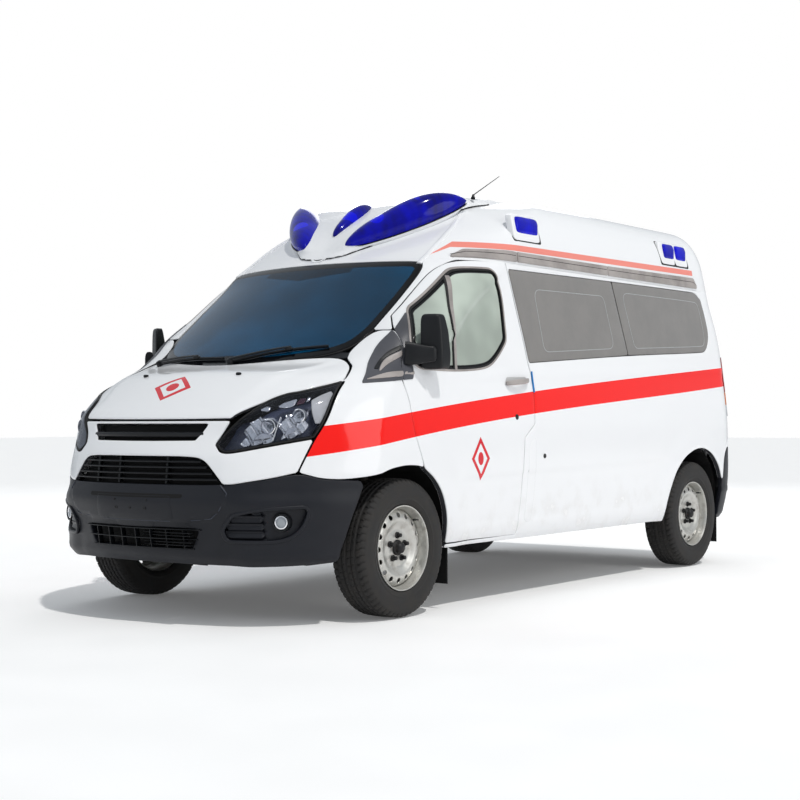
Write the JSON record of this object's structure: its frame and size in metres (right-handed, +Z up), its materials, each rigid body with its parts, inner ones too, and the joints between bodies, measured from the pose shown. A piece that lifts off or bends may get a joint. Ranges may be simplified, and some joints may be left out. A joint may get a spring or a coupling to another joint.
{
  "type": "high-roof van ambulance",
  "caption": "High-roof van ambulance with blue roof lamps, opening cab doors, bonnet and rear doors, steered front wheels and four rolling wheels.",
  "frame": {"origin": "on the ground, under the middle of the bounding box", "axes": "+Z up, the nose points along -Y, the vehicle's left side is +X"},
  "size_m": [2.106, 4.9998, 2.4685],
  "materials": {
    "white_paint": "gloss white paint with red stripes",
    "tyre_rubber": "black rubber, slightly brown with use",
    "wheel_steel": "silver painted steel",
    "clear_glass": "clear glass, slightly green",
    "grey_glass": "grey privacy glass",
    "blue_lens": "deep blue transparent plastic",
    "lamp_glass": "clear polycarbonate over chrome reflectors",
    "red_lens": "red transparent plastic",
    "dark_plastic": "dark grey grained plastic",
    "grey_trim": "satin grey trim",
    "black_liner": "black moulded plastic",
    "cab_plastic": "dark grey cab plastic",
    "seat_cloth": "dark grey woven cloth",
    "floor_paint": "grey paint",
    "black_metal": "black coated steel",
    "chassis_metal": "black painted steel"
  },
  "bodies": {
    "body": {"aerial": "black_metal", "body_side_left": "white_paint", "body_side_right": "white_paint", "bulkhead": "floor_paint", "cowl": "dark_plastic", "dashboard": "cab_plastic", "engine_block": "chassis_metal", "floor_pan": "floor_paint", "fog_lamps": "lamp_glass", "front_bumper": "dark_plastic", "front_subframe": "chassis_metal", "front_wings": "white_paint", "grilles": "dark_plastic", "headlamps": "lamp_glass", "leaf_springs": "chassis_metal", "light_bar_fairing": "white_paint", "light_bar_lenses": "blue_lens", "mudflaps": "black_liner", "nose_panel": "white_paint", "rear_axle": "chassis_metal", "rear_bumper": "dark_plastic", "roof": "white_paint", "roof_rails": "grey_trim", "roof_side_lamps": "blue_lens", "seats": "seat_cloth", "side_windows": "grey_glass", "sliding_door": "white_paint", "tail_lamps": "red_lens", "wheel_houses": "black_liner", "windscreen": "clear_glass"},
    "bonnet": {"bonnet": "white_paint"},
    "front_door_left": {"front_door_left": "white_paint", "door_window_left": "clear_glass", "mirror_left": "dark_plastic"},
    "front_door_right": {"front_door_right": "white_paint", "door_window_right": "clear_glass", "mirror_right": "dark_plastic"},
    "rear_door_left": {"rear_door_left": "white_paint", "rear_window_left": "grey_glass"},
    "rear_door_right": {"rear_door_right": "white_paint", "rear_window_right": "grey_glass"},
    "front_hub_left": {"knuckle_left": "chassis_metal"},
    "front_hub_right": {"knuckle_right": "chassis_metal"},
    "wheel_front_left": {"rim_front_left": "wheel_steel", "tyre_front_left": "tyre_rubber"},
    "wheel_front_right": {"rim_front_right": "wheel_steel", "tyre_front_right": "tyre_rubber"},
    "wheel_rear_left": {"rim_rear_left": "wheel_steel", "tyre_rear_left": "tyre_rubber"},
    "wheel_rear_right": {"rim_rear_right": "wheel_steel", "tyre_rear_right": "tyre_rubber"},
    "steering_wheel": {"steering_wheel": "cab_plastic"}
  },
  "joints": [
    {"name": "bonnet_lift", "type": "hinge", "parent": "body", "child": "bonnet", "pos_m": [0, -1.645, 1.345], "axis": [-1, 0, 0], "range_deg": [0, 50]},
    {"name": "front_door_left_swing", "type": "hinge", "parent": "body", "child": "front_door_left", "pos_m": [0.999, -1.55, 0.95], "axis": [0, 0, -1], "range_deg": [0, 68]},
    {"name": "front_door_right_swing", "type": "hinge", "parent": "body", "child": "front_door_right", "pos_m": [-0.999, -1.55, 0.95], "axis": [0, 0, 1], "range_deg": [0, 68]},
    {"name": "rear_door_left_swing", "type": "hinge", "parent": "body", "child": "rear_door_left", "pos_m": [0.733, 2.505, 1.2], "axis": [0, 0, -1], "range_deg": [0, 180]},
    {"name": "rear_door_right_swing", "type": "hinge", "parent": "body", "child": "rear_door_right", "pos_m": [-0.733, 2.505, 1.2], "axis": [0, 0, 1], "range_deg": [0, 180]},
    {"name": "steer_left", "type": "hinge", "parent": "body", "child": "front_hub_left", "pos_m": [0.8, -1.537, 0.352], "axis": [0, 0, 1], "range_deg": [-35, 35]},
    {"name": "steer_right", "type": "hinge", "parent": "body", "child": "front_hub_right", "pos_m": [-0.8, -1.537, 0.352], "axis": [0, 0, 1], "range_deg": [-35, 35]},
    {"name": "wheel_front_left_roll", "type": "hinge", "parent": "front_hub_left", "child": "wheel_front_left", "pos_m": [0.868, -1.537, 0.352], "axis": [1, 0, 0], "continuous": true},
    {"name": "wheel_front_right_roll", "type": "hinge", "parent": "front_hub_right", "child": "wheel_front_right", "pos_m": [-0.868, -1.537, 0.352], "axis": [1, 0, 0], "continuous": true},
    {"name": "wheel_rear_left_roll", "type": "hinge", "parent": "body", "child": "wheel_rear_left", "pos_m": [0.868, 1.763, 0.352], "axis": [1, 0, 0], "continuous": true},
    {"name": "wheel_rear_right_roll", "type": "hinge", "parent": "body", "child": "wheel_rear_right", "pos_m": [-0.868, 1.763, 0.352], "axis": [1, 0, 0], "continuous": true},
    {"name": "steering_wheel_turn", "type": "hinge", "parent": "body", "child": "steering_wheel", "pos_m": [0.42, -1.085, 1.12], "axis": [0, 0.5299, 0.848], "range_deg": [-490, 490]}
  ],
  "couplings": [
    {"joint": "steer_right", "follows": "steer_left", "ratio": 1},
    {"joint": "steering_wheel_turn", "follows": "steer_left", "ratio": 14}
  ]
}
